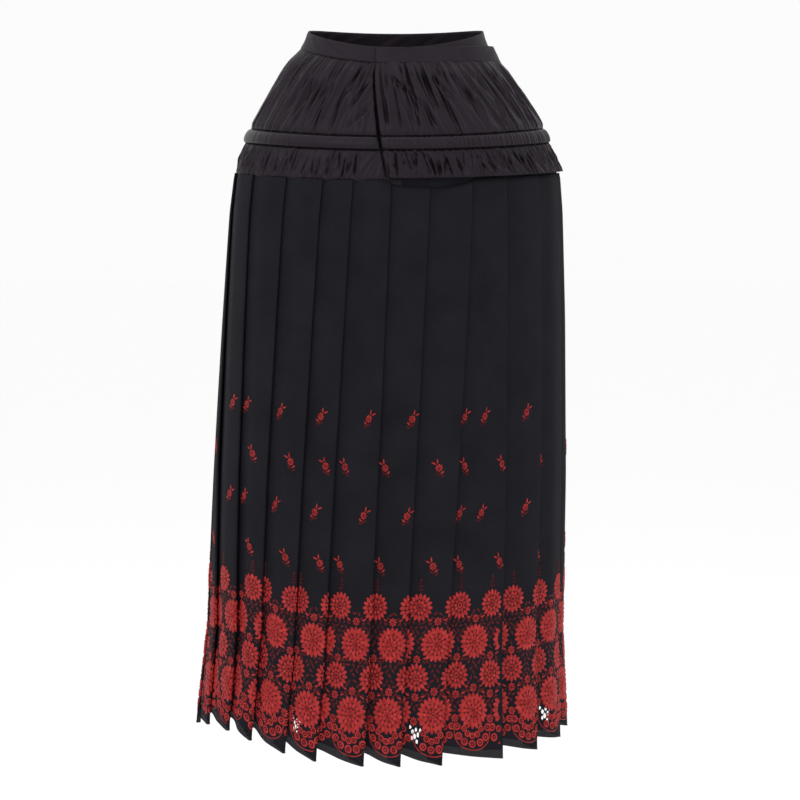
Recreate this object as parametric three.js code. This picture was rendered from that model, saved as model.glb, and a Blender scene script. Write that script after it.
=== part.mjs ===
// Wrap-over midi skirt with a gathered hip yoke, a corded casing and knife pleats, in its worn form.
// Millimetres, +Z up. The front faces -Y and +X is the viewer's right. The origin is the centre of the
// waist, at the height of the waistband at the sides.
import * as THREE from 'three';

// Cloth
const WALL = 1.2; // thickness of every cloth wall
const CASING_WALL = 2; // the casing is doubled round its cord
const SEAM = 0.35; // gap between two pieces that are sewn together

// Heights of the seams, measured at the side of the body
const BAND_TOP = 16;
const BAND_BOTTOM = -4;
const CASING_TOP = -100;
const CASING_BOTTOM = -116;
const YOKE_BOTTOM = -152;
const HEM = -808;

// Sections of the worn form, from the waist down. Half widths to the left and right of the centre,
// half depths before and behind it, and how far the front dips below the sides.
const SECTIONS = [
  { z: 16, left: 103, right: 100.5, front: 84, back: 87, dip: 32.5 },
  { z: -4, left: 111.5, right: 108, front: 89, back: 92, dip: 30.5 },
  { z: -24, left: 128, right: 116.5, front: 96, back: 103, dip: 27 },
  { z: -52, left: 144, right: 137, front: 107, back: 119, dip: 23 },
  { z: -86, left: 162, right: 159, front: 119, back: 136, dip: 20 },
  { z: -116, left: 177, right: 173, front: 129, back: 147, dip: 17 },
  { z: -152, left: 189, right: 189.5, front: 137, back: 156, dip: 14.5 },
  { z: -200, left: 195, right: 193, front: 141, back: 159, dip: 12 },
  { z: -320, left: 203.5, right: 196, front: 145, back: 162, dip: 9 },
  { z: -510, left: 215.5, right: 198, front: 151, back: 165, dip: 7 },
  { z: -700, left: 223, right: 195, front: 156, back: 167, dip: 5 },
  { z: -808, left: 236, right: 200, front: 160, back: 170, dip: 4 },
];
const DIP_SHARPNESS = 2.4; // how soon the dip fades from the front to the sides

// Gathers of the two yoke tiers. The wrap-over front's rows follow its slumped band by a share.
const UPPER = { visible: 40, over: 17, depth: 2.4, steps: 4 };
const LOWER = { visible: 76, over: 32, depth: 1.5, steps: 2 };
const UPPER_ROWS = [
  { z: BAND_BOTTOM - SEAM, depth: 0.35, puff: 0, follow: 1 },
  { z: -18, depth: 0.8, puff: 3.2, follow: 0.7 },
  { z: -48, depth: 1, puff: 4.2, follow: 0.2 },
  { z: -78, depth: 0.9, puff: 5.5, follow: 0 },
  { z: -93, depth: 0.6, puff: 6, follow: 0 },
  { z: CASING_TOP + SEAM, depth: 0.35, puff: 3.2, follow: 0 },
];
const LOWER_ROWS = [
  { z: CASING_BOTTOM - SEAM, depth: 0.5, puff: 2 },
  { z: -134, depth: 1, puff: 3 },
  { z: YOKE_BOTTOM + SEAM, depth: 0.6, puff: 2, underZ: -167, underPuff: -2.6 },
];
// The wrap-over front's lower tier stands clear of the pleats and ends in a loose edge over the seam
const LOWER_OVER_ROWS = [...LOWER_ROWS.slice(0, 2), { z: -150, depth: 0.7, puff: 4.5 }];
// Behind that edge the top of the pleats sags between two angles
const TOP_SAG = { from: -3, to: 27, depth: 9 };
const CASING_ROWS = [
  { z: CASING_TOP, puff: 3 },
  { z: -103, puff: 5.4 },
  { z: -108, puff: 6.4 },
  { z: -113, puff: 5 },
  { z: CASING_BOTTOM, puff: 2 },
];
const BAND_ROWS = [
  { z: BAND_TOP, puff: 0 },
  { z: 6, puff: 0.8 },
  { z: BAND_BOTTOM, puff: 0.6 },
];

// The wrap-over front: its free edge slants to the right as it falls, its other end is at the side
const WRAP = { edgeTop: -13.5, edgeBottom: -2.5, side: 96, lift: 3.6, bandLift: 2.6, edgeLift: 4 };
const EDGE_FADE = 14; // how soon the lift of the free edge fades along the piece
const BAND_SLUMP = 23; // how far the band of the wrap-over front would hang down at the back
// How far that band stands off towards the side, and over which shares of its length
const BAND_STANDOFF = { depth: 4, from: 0.5, span: 0.6 };
const PLAIN_STEP = 8; // degrees between columns where a piece has no gathers
const EDGE_MARGIN = 1; // degrees before the free edge where the gathers under it end
const UNDER_MARGIN = { edge: 4, side: 13 }; // degrees in which the hidden layer steps in to its place

// Knife pleats, folded to the viewer's right. Angles of the outer folds in front, at the yoke and at
// the hem; the wrap edge is the ninth fold. The pleats of the back are spaced evenly.
const FRONT_FOLDS = [
  { top: -82, hem: -69 },
  { top: -60, hem: -55 },
  { top: -41, hem: -45 },
  { top: -26, hem: -33 },
  { top: -15, hem: -23 },
  { top: -2, hem: -9.5 },
  { top: 11, hem: 0.6 },
  { top: 26, hem: 14 },
  { top: 40, hem: 36 },
  { top: 57, hem: 52 },
  { top: 75, hem: 71 },
];
const WRAP_FOLD = 8;
const BACK_PLEATS = 13;
const UNDERLAY = 0.28; // width hidden under a fold, as a share of the pleat
const LAYER_TOP = 2; // distance between the layers of a pleat at the yoke
const LAYER_HEM = 4; // and at the hem, where the pleats open
const HEM_STEP = 14; // how much lower the hem hangs at a fold than behind it
const HEM_SHARPNESS = 12; // how late down the skirt that step sets in
// The pleats swing out to the left and lift the cloth there: angle and spread in degrees, and rise
const SWING = { angle: -58, spread: 24, rise: 21, sharpness: 1.3 };
const SKIRT_ROWS = [YOKE_BOTTOM, -320, -580, -777, -788, HEM];
const GAP_ROW = 3; // the row of cut-out gaps in the openwork border
const GAP_PLEATS = { every: 3, from: 1 }; // in the other pleats another layer closes the openwork

// One pleat: place along it, height in layers, turn of a fold in layers, and share of the hem step
const PLEAT_PATH = [
  { along: 0, under: 1, layer: 0, turn: 0, drop: 0.3 },
  { along: 0.06, under: 0, layer: 0.05, turn: 0, drop: 0 },
  { along: 0.28, under: 0, layer: 0.9, turn: 0, drop: 0.25 },
  { along: 0.42, under: 0, layer: 1.4, turn: 0, drop: 0.4 },
  { along: 0.65, under: 0, layer: 2, turn: 0, drop: 0.7 },
  { along: 1, under: 0, layer: 2.1, turn: 0, drop: 1 },
  { along: 1, under: 0, layer: 1.5, turn: 0.5, drop: 1 },
  { along: 1, under: 0, layer: 1, turn: 0, drop: 0.9 },
  { along: 1, under: 1, layer: 1, turn: 0, drop: 0.6 },
  { along: 1, under: 1, layer: 0.5, turn: -0.5, drop: 0.45 },
];
const GAP_COLUMN = 2; // the gap lies between this point of the path and the next
const FOLD_COLUMN = 5; // the point where the outer fold begins
const SEAM_COLUMN = 3; // the side seam lies between this point and the next

// Unevenness of the gathers: how their places drift, in gathers, and how their depths vary
const GATHER_DRIFT = [
  { gathers: 0.5, turns: 11, phase: 1 },
  { gathers: 0.35, turns: 29, phase: 0 },
];
const GATHER_DEPTH = { mean: 0.7, swing: 0.3, turn: 2.4, phase: 1 };

const MITRE_LIMIT = 0.6; // how far a sharp corner of a row may reach out when it is moved sideways
const DEGREE = Math.PI / 180;

// The section of the worn form at a height, between the rows of the table
function sectionAt(z) {
  const last = SECTIONS.length - 1;
  let lower = SECTIONS.findIndex((row) => row.z <= z);
  if (lower < 0) lower = last;
  lower = Math.max(lower, 1);
  const a = SECTIONS[lower - 1];
  const b = SECTIONS[lower];
  const share = THREE.MathUtils.clamp((a.z - z) / (a.z - b.z), 0, 1);
  const mix = (key) => THREE.MathUtils.lerp(a[key], b[key], share);
  return { left: mix('left'), right: mix('right'), front: mix('front'), back: mix('back'), dip: mix('dip') };
}

// How much of the front's dip is left at an angle, from 1 in front to 0 at the back
function frontShare(angle) {
  return ((1 + Math.cos(angle)) / 2) ** DIP_SHARPNESS;
}

// A point on the worn form, at an angle from the front and a side height, moved out by some millimetres.
// A positive aside moves it on along the form.
function formPoint(angle, z, out, aside = 0) {
  const section = sectionAt(z);
  const width = Math.sin(angle) < 0 ? section.left : section.right;
  const depth = Math.cos(angle) > 0 ? section.front : section.back;
  const speed = Math.hypot(width * Math.cos(angle), depth * Math.sin(angle));
  const at = angle + aside / speed;
  const normal = new THREE.Vector2(Math.sin(at) / width, -Math.cos(at) / depth).normalize();
  return new THREE.Vector3(
    width * Math.sin(at) + out * normal.x,
    -depth * Math.cos(at) + out * normal.y,
    z - section.dip * frontShare(at),
  );
}

// Moves a row of points sideways by half the wall, square to the row and mitred at its corners
function offsetRow(row, distance, closed) {
  const count = row.length;
  const direction = (from, to) => new THREE.Vector2(to.x - from.x, to.y - from.y).normalize();
  return row.map((point, i) => {
    const before = i > 0 || closed ? direction(row[(i - 1 + count) % count], point) : null;
    const after = i < count - 1 || closed ? direction(point, row[(i + 1) % count]) : null;
    const into = before ?? after;
    const outOf = after ?? before;
    const normal = new THREE.Vector2(into.y + outOf.y, -into.x - outOf.x).normalize();
    const mitre = Math.max(normal.x * into.y - normal.y * into.x, MITRE_LIMIT);
    return new THREE.Vector3(
      point.x + (normal.x * distance) / mitre,
      point.y + (normal.y * distance) / mitre,
      point.z,
    );
  });
}

// A closed cloth wall round a grid of middle points, rows from the top down and columns to the
// viewer's right. Gaps are cells of the grid that are cut through.
function clothWall(grid, wall, closed, gaps = []) {
  const outer = grid.map((row) => offsetRow(row, wall / 2, closed));
  const inner = grid.map((row) => offsetRow(row, -wall / 2, closed));
  const rows = grid.length;
  const columns = grid[0].length;
  const positions = [...outer.flat(), ...inner.flat()].flatMap((point) => [point.x, point.y, point.z]);
  const outerAt = (r, c) => r * columns + (c % columns);
  const innerAt = (r, c) => rows * columns + outerAt(r, c);
  const triangles = [];
  const quad = (a, b, c, d) => triangles.push(a, b, c, a, c, d);
  const cells = closed ? columns : columns - 1;
  const isGap = (r, c) => gaps.some((gap) => gap.row === r && gap.column === c);
  for (let r = 0; r < rows - 1; r += 1) {
    for (let c = 0; c < cells; c += 1) {
      const cell = [[r, c], [r + 1, c], [r + 1, c + 1], [r, c + 1]];
      if (isGap(r, c)) {
        cell.forEach((from, i) => {
          const to = cell[(i + 1) % cell.length];
          quad(outerAt(...from), outerAt(...to), innerAt(...to), innerAt(...from));
        });
      } else {
        quad(...cell.map((at) => outerAt(...at)));
        quad(...cell.map((at) => innerAt(...at)).reverse());
      }
    }
  }
  for (let c = 0; c < cells; c += 1) {
    quad(outerAt(0, c), outerAt(0, c + 1), innerAt(0, c + 1), innerAt(0, c));
    quad(outerAt(rows - 1, c + 1), outerAt(rows - 1, c), innerAt(rows - 1, c), innerAt(rows - 1, c + 1));
  }
  if (!closed) {
    for (let r = 0; r < rows - 1; r += 1) {
      const end = columns - 1;
      quad(outerAt(r + 1, 0), outerAt(r, 0), innerAt(r, 0), innerAt(r + 1, 0));
      quad(outerAt(r, end), outerAt(r + 1, end), innerAt(r + 1, end), innerAt(r, end));
    }
  }
  const geometry = new THREE.BufferGeometry();
  geometry.setAttribute('position', new THREE.Float32BufferAttribute(positions, 3));
  geometry.setIndex(triangles);
  geometry.computeVertexNormals();
  return geometry;
}

// Columns of gathers between two angles in degrees, uneven in width and depth
function gatherColumns(from, to, gathers, steps) {
  const columns = [];
  const total = gathers * steps;
  for (let i = 0; i < total; i += 1) {
    const share = i / total;
    const drift = GATHER_DRIFT.reduce(
      (sum, part) => sum + part.gathers * Math.sin(part.turns * share + part.phase), 0);
    const fade = Math.sqrt(Math.sin(Math.PI * share));
    const gather = Math.floor(i / steps);
    const depth = GATHER_DEPTH.mean
      + GATHER_DEPTH.swing * Math.sin(GATHER_DEPTH.turn * gather + GATHER_DEPTH.phase);
    columns.push({
      share,
      angle: from + (to - from) * (share + (drift / gathers) * fade),
      wave: -Math.cos((2 * Math.PI * i) / steps) * depth,
    });
  }
  return columns;
}

// Columns without gathers
function plainColumns(from, to, step) {
  const count = Math.max(2, Math.round((to - from) / step));
  return Array.from({ length: count }, (_, i) => {
    const share = i / count;
    return { share, angle: from + (to - from) * share, wave: 0 };
  });
}

// The free edge of the wrap-over front at a height
function wrapEdge(z) {
  const share = THREE.MathUtils.clamp((BAND_TOP - z) / (BAND_TOP - YOKE_BOTTOM), 0, 1);
  return THREE.MathUtils.lerp(WRAP.edgeTop, WRAP.edgeBottom, share);
}

// A piece all round: gathered where it shows, plain under the wrap-over front
function ringPiece(rows, tier, wall = WALL) {
  const side = 360 + WRAP.side;
  const edge = 360 + wrapEdge(rows[rows.length - 1].z);
  const shown = tier
    ? gatherColumns(WRAP.side, edge, tier.visible, tier.steps)
    : plainColumns(WRAP.side, edge, PLAIN_STEP);
  const columns = [...shown, ...plainColumns(edge, side, PLAIN_STEP)];
  const grid = rows.map((row) => columns.map((column) => {
    const hidden = column.angle >= 360 + wrapEdge(row.z) - EDGE_MARGIN;
    const inside = column.angle >= edge + UNDER_MARGIN.edge && column.angle < side - UNDER_MARGIN.side;
    const under = { z: inside ? row.underZ ?? row.z : row.z, puff: row.underPuff ?? 0 };
    const wave = tier ? tier.depth * row.depth * column.wave : 0;
    return hidden
      ? formPoint(column.angle * DEGREE, under.z, under.puff)
      : formPoint(column.angle * DEGREE, row.z, row.puff + wave);
  }));
  return clothWall(grid, wall, true);
}

// A piece of the wrap-over front, moved out from what it lies on
function wrapPiece(rows, tier, lift, wall = WALL) {
  const columns = tier
    ? gatherColumns(0, 1, tier.over, tier.steps)
    : plainColumns(0, 1, PLAIN_STEP / (WRAP.side - WRAP.edgeTop));
  columns.push({ share: 1, angle: 1, wave: 0 });
  const grid = rows.map((row) => columns.map((column) => {
    const edge = wrapEdge(row.z);
    const angle = THREE.MathUtils.lerp(edge, WRAP.side, column.angle);
    const wave = tier ? tier.depth * row.depth * column.wave : 0;
    const fall = THREE.MathUtils.clamp((BAND_TOP - row.z) / (BAND_TOP - YOKE_BOTTOM), 0, 1);
    const stand = WRAP.edgeLift * fall * Math.exp(-column.share * EDGE_FADE);
    const swell = Math.sin((Math.PI * (column.share - BAND_STANDOFF.from)) / BAND_STANDOFF.span);
    const away = (row.standoff ?? 0) * Math.max(0, swell);
    const slump = (row.slump ?? 0) * (1 - frontShare(angle * DEGREE));
    return formPoint(angle * DEGREE, row.z - slump, lift + row.puff + wave + stand + away);
  }));
  return clothWall(grid, wall, false);
}

// Outer folds of all the pleats, in degrees, from the left side once round
function foldTable() {
  const first = FRONT_FOLDS[0];
  const last = FRONT_FOLDS[FRONT_FOLDS.length - 1];
  const spaces = BACK_PLEATS + 1;
  const back = Array.from({ length: BACK_PLEATS }, (_, i) => {
    const share = (i + 1) / spaces;
    return {
      top: THREE.MathUtils.lerp(last.top, first.top + 360, share),
      hem: THREE.MathUtils.lerp(last.hem, first.hem + 360, share),
    };
  });
  return [...FRONT_FOLDS, ...back];
}

// The columns of the pleated cloth, from the left side seam once round, each a list of path points
function pleatColumns() {
  const folds = foldTable();
  const count = folds.length;
  const foldAt = (i) => {
    const turns = Math.floor(i / count);
    const fold = folds[i - turns * count];
    return { top: fold.top + 360 * turns, hem: fold.hem + 360 * turns };
  };
  const columns = [];
  for (let pleat = 0; pleat <= count; pleat += 1) {
    const start = foldAt(pleat - 1);
    const end = foldAt(pleat);
    const beforeStart = foldAt(pleat - 2);
    PLEAT_PATH.forEach((step, index) => {
      const place = (key) => {
        const pitch = end[key] - start[key];
        const pitchBefore = start[key] - beforeStart[key];
        const hidden = index === 0 ? pitchBefore : pitch;
        return start[key] + pitch * step.along - UNDERLAY * hidden * step.under;
      };
      columns.push({ pleat, index, step, top: place('top'), hem: place('hem'), aside: 0 });
    });
  }
  return columns;
}

// How far the swing of the pleats lifts the cloth, at an angle in degrees and a share of the fall
function swingRise(angle, fall) {
  const away = THREE.MathUtils.euclideanModulo(angle - SWING.angle + 180, 360) - 180;
  return SWING.rise * fall ** SWING.sharpness * Math.exp(-((away / SWING.spread) ** 2));
}

// The pleated cloth over some of its columns
function pleatedPiece(columns) {
  const top = SKIRT_ROWS[0];
  const grid = SKIRT_ROWS.map((z) => columns.map((column) => {
    const fall = (top - z) / (top - HEM);
    const layer = THREE.MathUtils.lerp(LAYER_TOP, LAYER_HEM, fall);
    const angle = THREE.MathUtils.lerp(column.top, column.hem, fall);
    const aside = column.step.turn * layer + column.aside;
    const point = formPoint(angle * DEGREE, z, column.step.layer * layer, aside);
    const sagShare = THREE.MathUtils.inverseLerp(TOP_SAG.from, TOP_SAG.to, column.top);
    const sag = TOP_SAG.depth * Math.sqrt(Math.sin(Math.PI * THREE.MathUtils.clamp(sagShare, 0, 1)));
    point.z -= z === top ? SEAM + sag : HEM_STEP * column.step.drop * fall ** HEM_SHARPNESS;
    point.z += swingRise(angle, fall);
    return point;
  }));
  const gaps = columns
    .map((column, i) => ({ row: GAP_ROW, column: i, index: column.index, pleat: column.pleat }))
    .filter((gap) => gap.index === GAP_COLUMN && gap.pleat % GAP_PLEATS.every === GAP_PLEATS.from);
  return clothWall(grid, WALL, false, gaps);
}

// Front from the left side seam to the wrap edge, back from under that edge round to the seam
function skirtPieces() {
  const all = pleatColumns();
  const count = all.length;
  const perPleat = PLEAT_PATH.length;
  const half = (column, aside) => ({ ...column, aside });
  const frontStart = SEAM_COLUMN;
  const wrapEnd = WRAP_FOLD * perPleat + FOLD_COLUMN;
  const backStart = (WRAP_FOLD + 1) * perPleat;
  const backEnd = count - perPleat + SEAM_COLUMN;
  const front = all.slice(frontStart, wrapEnd + 1);
  const back = all.slice(backStart, backEnd + 1);
  front[0] = half(front[0], SEAM / 2);
  back[back.length - 1] = half(back[back.length - 1], -SEAM / 2);
  return { front: pleatedPiece(front), back: pleatedPiece(back) };
}

// Finishes of the cloths
const satin = () => new THREE.MeshStandardMaterial({ color: 0x221e24, roughness: 0.5, metalness: 0 });
const band = () => new THREE.MeshStandardMaterial({ color: 0x2e2931, roughness: 0.6, metalness: 0 });
const crepe = () => new THREE.MeshStandardMaterial({ color: 0x1c1b20, roughness: 0.85, metalness: 0 });

const skirt = new THREE.Group();

function addPiece(name, geometry, material) {
  const mesh = new THREE.Mesh(geometry, material);
  mesh.name = name;
  skirt.add(mesh);
}

const bandOverRows = BAND_ROWS.map((row) => ({ ...row, slump: BAND_SLUMP, standoff: BAND_STANDOFF.depth }));
const upperOverRows = UPPER_ROWS.map((row) => ({
  ...row,
  slump: BAND_SLUMP * row.follow,
  standoff: BAND_STANDOFF.depth * row.follow,
}));
const pleats = skirtPieces();

addPiece('waistband', ringPiece(BAND_ROWS, null), band());
addPiece('waistband_over', wrapPiece(bandOverRows, null, WRAP.bandLift), band());
addPiece('yoke_upper', ringPiece(UPPER_ROWS, UPPER), satin());
addPiece('yoke_upper_over', wrapPiece(upperOverRows, UPPER, WRAP.lift), satin());
addPiece('casing', ringPiece(CASING_ROWS, null, CASING_WALL), satin());
addPiece('casing_over', wrapPiece(CASING_ROWS, null, WRAP.lift, CASING_WALL), satin());
addPiece('yoke_lower', ringPiece(LOWER_ROWS, LOWER), satin());
addPiece('yoke_lower_over', wrapPiece(LOWER_OVER_ROWS, LOWER, WRAP.lift), satin());
addPiece('skirt_front', pleats.front, crepe());
addPiece('skirt_back', pleats.back, crepe());

export default skirt;
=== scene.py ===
"""Looks of a wrap-over midi skirt: gathered yoke, corded casing, knife pleats and embroidery.

Lengths are in millimetres in the part's own frame and turned into metres when a mesh is made.
The front faces -Y, +X is the viewer's right and +Z is up.
"""

import math

import bpy
import numpy as np
from mathutils import Euler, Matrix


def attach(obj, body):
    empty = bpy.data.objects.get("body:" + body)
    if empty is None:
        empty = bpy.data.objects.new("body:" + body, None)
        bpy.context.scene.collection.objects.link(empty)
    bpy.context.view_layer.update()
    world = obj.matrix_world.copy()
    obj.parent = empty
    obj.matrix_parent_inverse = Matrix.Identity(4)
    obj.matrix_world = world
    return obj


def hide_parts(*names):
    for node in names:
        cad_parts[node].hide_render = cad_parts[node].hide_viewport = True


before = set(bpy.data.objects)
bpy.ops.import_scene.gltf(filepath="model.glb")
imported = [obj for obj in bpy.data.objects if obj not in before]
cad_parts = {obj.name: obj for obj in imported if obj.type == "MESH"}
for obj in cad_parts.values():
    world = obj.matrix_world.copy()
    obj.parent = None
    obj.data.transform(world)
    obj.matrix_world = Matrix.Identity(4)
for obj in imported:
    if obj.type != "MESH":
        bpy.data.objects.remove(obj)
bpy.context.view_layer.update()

MM = 0.001
BODY = "root"


# The photograph's view: where the camera stands, how far it looks down, and its lens
CAMERA_PLACE = (0.0036, -2.139, -0.2107)
CAMERA_PITCH = math.radians(5.74)
CAMERA_LENS = 80.6
CAMERA_SENSOR = 36.0
FLOOR_Z = -1.32
FLOOR_HALF = 30000.0
FLOOR_COLOUR = (0.93, 0.93, 0.93)
FLOOR_ROUGHNESS = 0.9
FLOOR_GLOW = 0.06  # keeps the pale floor as bright as the studio behind it
STUDIO_LIGHT = 0.97
# Soft lights: name, place, size and power. They aim at the middle of the skirt.
LIGHTS = (
    ("key", (-1.6, -2.4, 1.6), 1.8, 14),
    ("fill", (2.2, -2, 0.6), 2, 5),
    ("top", (0, 0.6, 2.4), 2.2, 9),
)
LIGHT_AIM = (0, 0, -0.4)

# Seams and edges, measured at the side of the body, as in the CAD model
BAND_TOP = 16.0
BAND_BOTTOM = -4.0
CASING_TOP = -100.0
CASING_BOTTOM = -116.0
YOKE_BOTTOM = -152.0
YOKE_LOOSE_EDGE = -150.0
HEM = -808.0
SEAM = 0.35
TUCK = 3.0  # the yoke's seam allowance inside the band, and behind the pleats

# Sections of the worn form: height, half widths at the left and right, half depths at the front and
# back, and dip of the front
SECTIONS = (
    (16, 103, 100.5, 84, 87, 32.5),
    (-4, 111.5, 108, 89, 92, 30.5),
    (-24, 128, 116.5, 96, 103, 27),
    (-52, 144, 137, 107, 119, 23),
    (-86, 162, 159, 119, 136, 20),
    (-116, 177, 173, 129, 147, 17),
    (-152, 189, 189.5, 137, 156, 14.5),
    (-200, 195, 193, 141, 159, 12),
    (-320, 203.5, 196, 145, 162, 9),
    (-510, 215.5, 198, 151, 165, 7),
    (-700, 223, 195, 156, 167, 5),
    (-808, 236, 200, 160, 170, 4),
)
DIP_SHARPNESS = 2.4
SMOOTHING = 7.0  # the sections are rounded into each other over this many millimetres

# Thickness of the shells
YOKE_SHELL = 0.6
CREPE_SHELL = 0.45
HEM_ROLL = 1.1

# The wrap-over front: angles of its free edge and its end, and how it lies on the pieces under it
EDGE_TOP = -13.5
EDGE_BOTTOM = -2.5
WRAP_SIDE = 96.0
WRAP_LIFT = 3.6
BAND_LIFT = 2.6
EDGE_LIFT = 4.0
EDGE_FADE = 14.0
EDGE_TURN = {"share": 0.6, "width": 0.8}  # the free edge is turned in to the cloth under it
UNDER_SINK = 15.3  # how much lower the base's lower tier ends where the loose edge covers it
UNDER_STEP = -2.6  # and how far it steps in there
UNDER_SIDE = 83.0
UNDER_FROM = -136.0  # below this height that hidden part is of the pleats' crepe
BAND_SLUMP = 23.0
BAND_STANDOFF = {"depth": 4, "from": 0.5, "span": 0.6}

# Knife pleats: angles of the outer folds in front at the yoke and at the hem
FRONT_FOLDS = (
    (-82, -69), (-60, -55), (-41, -45), (-26, -33), (-15, -23), (-2, -9.5),
    (11, 0.6), (26, 14), (40, 36), (57, 52), (75, 71),
)
WRAP_FOLD = 8
BACK_PLEATS = 13
UNDERLAY = 0.28
LAYER_TOP = 1.5
LAYER_HEM = 3.6
HEM_STEP = 14.0
HEM_SHARPNESS = 12
SWING = {"angle": -58, "spread": 24, "rise": 21, "sharpness": 1.3}
TOP_SAG = {"from": -3, "to": 27, "depth": 9}
SHEER_FROM = -800.0  # below this height the plain hem is a little see-through

# Holes of the openwork, on every third pleat: place along the pleat, height, and half sizes
HOLE_PLEATS = {"every": 3, "from": 1}
HOLES = (
    (0.24, -775, 0.022, 2.4),
    (0.30, -779.5, 0.030, 3),
    (0.37, -776.5, 0.026, 2.4),
    (0.29, -786.5, 0.024, 2.2),
    (0.35, -784, 0.032, 3.2),
    (0.42, -781.5, 0.028, 2.6),
    (0.40, -789, 0.028, 2.2),
    (0.47, -776.5, 0.022, 2.2),
)
SMALL = 1e-9


def lerp(a, b, share):
    return a + (b - a) * share


def smooth(edge0, edge1, value):
    t = np.clip((value - edge0) / (edge1 - edge0), 0.0, 1.0)
    return t * t * (3.0 - 2.0 * t)


def unit(vectors):
    return vectors / np.maximum(np.linalg.norm(vectors, axis=-1, keepdims=True), SMALL)


def distances(line):
    """Distances of a line's points from its first one, along the line."""
    return np.concatenate([[0], np.cumsum(np.linalg.norm(np.diff(line, axis=0), axis=-1))])


def turned_away(angle, centre):
    """Degrees between two angles, from -180 to 180."""
    return (angle - centre + 180) % 360 - 180


# The worn form


def section_at(z):
    """The half widths, half depths and dip of the form at a height, rounded between the sections."""
    heights, *columns = np.array(SECTIONS, float)[::-1].T
    shifts = (-SMOOTHING, 0.0, SMOOTHING)
    return [sum(np.interp(z + shift, heights, column) for shift in shifts) / 3 for column in columns]


def front_share(angle):
    """How much of the front's dip is left at an angle in radians, from 1 in front to 0 at the back."""
    return ((1 + np.cos(angle)) / 2) ** DIP_SHARPNESS


def form_points(angle, z, out, aside=0.0):
    """Points on the worn form at an angle from the front, in degrees, and a side height."""
    angle = np.radians(angle)
    left, right, front, back, dip = section_at(z)
    width = np.where(np.sin(angle) < 0, left, right)
    depth = np.where(np.cos(angle) > 0, front, back)
    speed = np.hypot(width * np.cos(angle), depth * np.sin(angle))
    at = angle + aside / speed
    nx = np.sin(at) / width
    ny = -np.cos(at) / depth
    length = np.hypot(nx, ny)
    return np.stack(
        [
            width * np.sin(at) + out * nx / length,
            -depth * np.cos(at) + out * ny / length,
            z - dip * front_share(at),
        ],
        axis=-1,
    )


# Meshes


def make_object(name, points, faces, materials, uv, face_slots=None):
    """A mesh object from points in millimetres. uv holds a place on the flat cloth for each point."""
    mesh = bpy.data.meshes.new(name)
    faces = np.asarray(faces, np.int32)
    corners = faces.shape[1]
    mesh.vertices.add(len(points))
    mesh.vertices.foreach_set("co", (np.asarray(points) * MM).astype(np.float32).ravel())
    mesh.loops.add(faces.size)
    mesh.loops.foreach_set("vertex_index", faces.ravel())
    mesh.polygons.add(len(faces))
    mesh.polygons.foreach_set("loop_start", np.arange(0, faces.size, corners, dtype=np.int32))
    layer = mesh.uv_layers.new(name="cloth")
    layer.data.foreach_set("uv", (np.asarray(uv)[faces.ravel()] * MM).astype(np.float32).ravel())
    for material in materials:
        mesh.materials.append(material)
    if face_slots is not None:
        mesh.polygons.foreach_set("material_index", np.asarray(face_slots, np.int32))
    mesh.update(calc_edges=True)
    mesh.validate()
    mesh.polygons.foreach_set("use_smooth", np.full(len(mesh.polygons), True))
    obj = bpy.data.objects.new(name, mesh)
    bpy.context.scene.collection.objects.link(obj)
    return obj


def grid_normals(grid, closed=False):
    if closed:
        across = np.roll(grid, -1, axis=1) - np.roll(grid, 1, axis=1)
    else:
        across = np.gradient(grid, axis=1)
    down = np.gradient(grid, axis=0)
    return unit(np.cross(down, across))


def cloth_shell(name, grid, thickness, materials, uv, closed=False, open_cells=None, cell_slots=None):
    """A closed shell round a grid of middle points, rows from the top down, columns to the right."""
    rows, columns = grid.shape[:2]
    normal = grid_normals(grid, closed)
    half = np.broadcast_to(np.asarray(thickness, float), (rows,))[:, None, None] / 2
    outer = (grid + normal * half).reshape(-1, 3)
    inner = (grid - normal * half).reshape(-1, 3)
    count = rows * columns
    cells = columns if closed else columns - 1
    r, c = np.meshgrid(np.arange(rows - 1), np.arange(cells), indexing="ij")
    after = (c + 1) % columns
    quads = np.stack(
        [r * columns + c, (r + 1) * columns + c, (r + 1) * columns + after, r * columns + after],
        axis=-1,
    )
    keep = np.ones((rows - 1, cells), bool) if open_cells is None else ~open_cells
    quads = quads[keep]
    edges = np.concatenate([quads[:, [i, (i + 1) % 4]] for i in range(4)]).astype(np.int64)
    forward = edges[:, 0] * count + edges[:, 1]
    backward = edges[:, 1] * count + edges[:, 0]
    rim = edges[~np.isin(forward, backward)]
    walls = np.stack([rim[:, 1], rim[:, 0], rim[:, 0] + count, rim[:, 1] + count], axis=-1)
    faces = np.concatenate([quads, quads[:, ::-1] + count, walls])
    slots = None
    if cell_slots is not None:
        shown = cell_slots[keep]
        slots = np.concatenate([shown, shown, np.zeros(len(walls), int)])
    flat = np.asarray(uv).reshape(-1, 2)
    points = np.concatenate([outer, inner])
    return make_object(name, points, faces, materials, np.concatenate([flat, flat]), slots)


# Materials

# Looks of the cloths and threads: noise and threads to a metre of cloth, and relief in metres
PATCHES = {"Scale": 22, "Detail": 4}
PEBBLES = {"Scale": 420, "Detail": 2}
WEAVE = {"Distortion": 1.5, "Detail": 1}
WEAVE_RELIEF = 0.0003
PEBBLE_RELIEF = 0.0006
ROUGHNESS_CHANGE = 0.06
THREAD_PATCHES = {"Scale": 160, "Detail": 3}
GROOVES = {"Scale": 520, "Distortion": 3}
GROOVE_BUMP = 0.5
GROOVE_RELIEF = 0.0003
CLOTH_RAMP = (0.3, 0.7)  # values of the noise where the darker and the lighter colour are full
THREAD_RAMP = (0.35, 0.68)
THREAD_GLOSS = 0.22
THREAD_TINT = (1, 0.7, 0.7)


def set_inputs(node, values):
    for key, value in values.items():
        node.inputs[key].default_value = value


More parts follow.
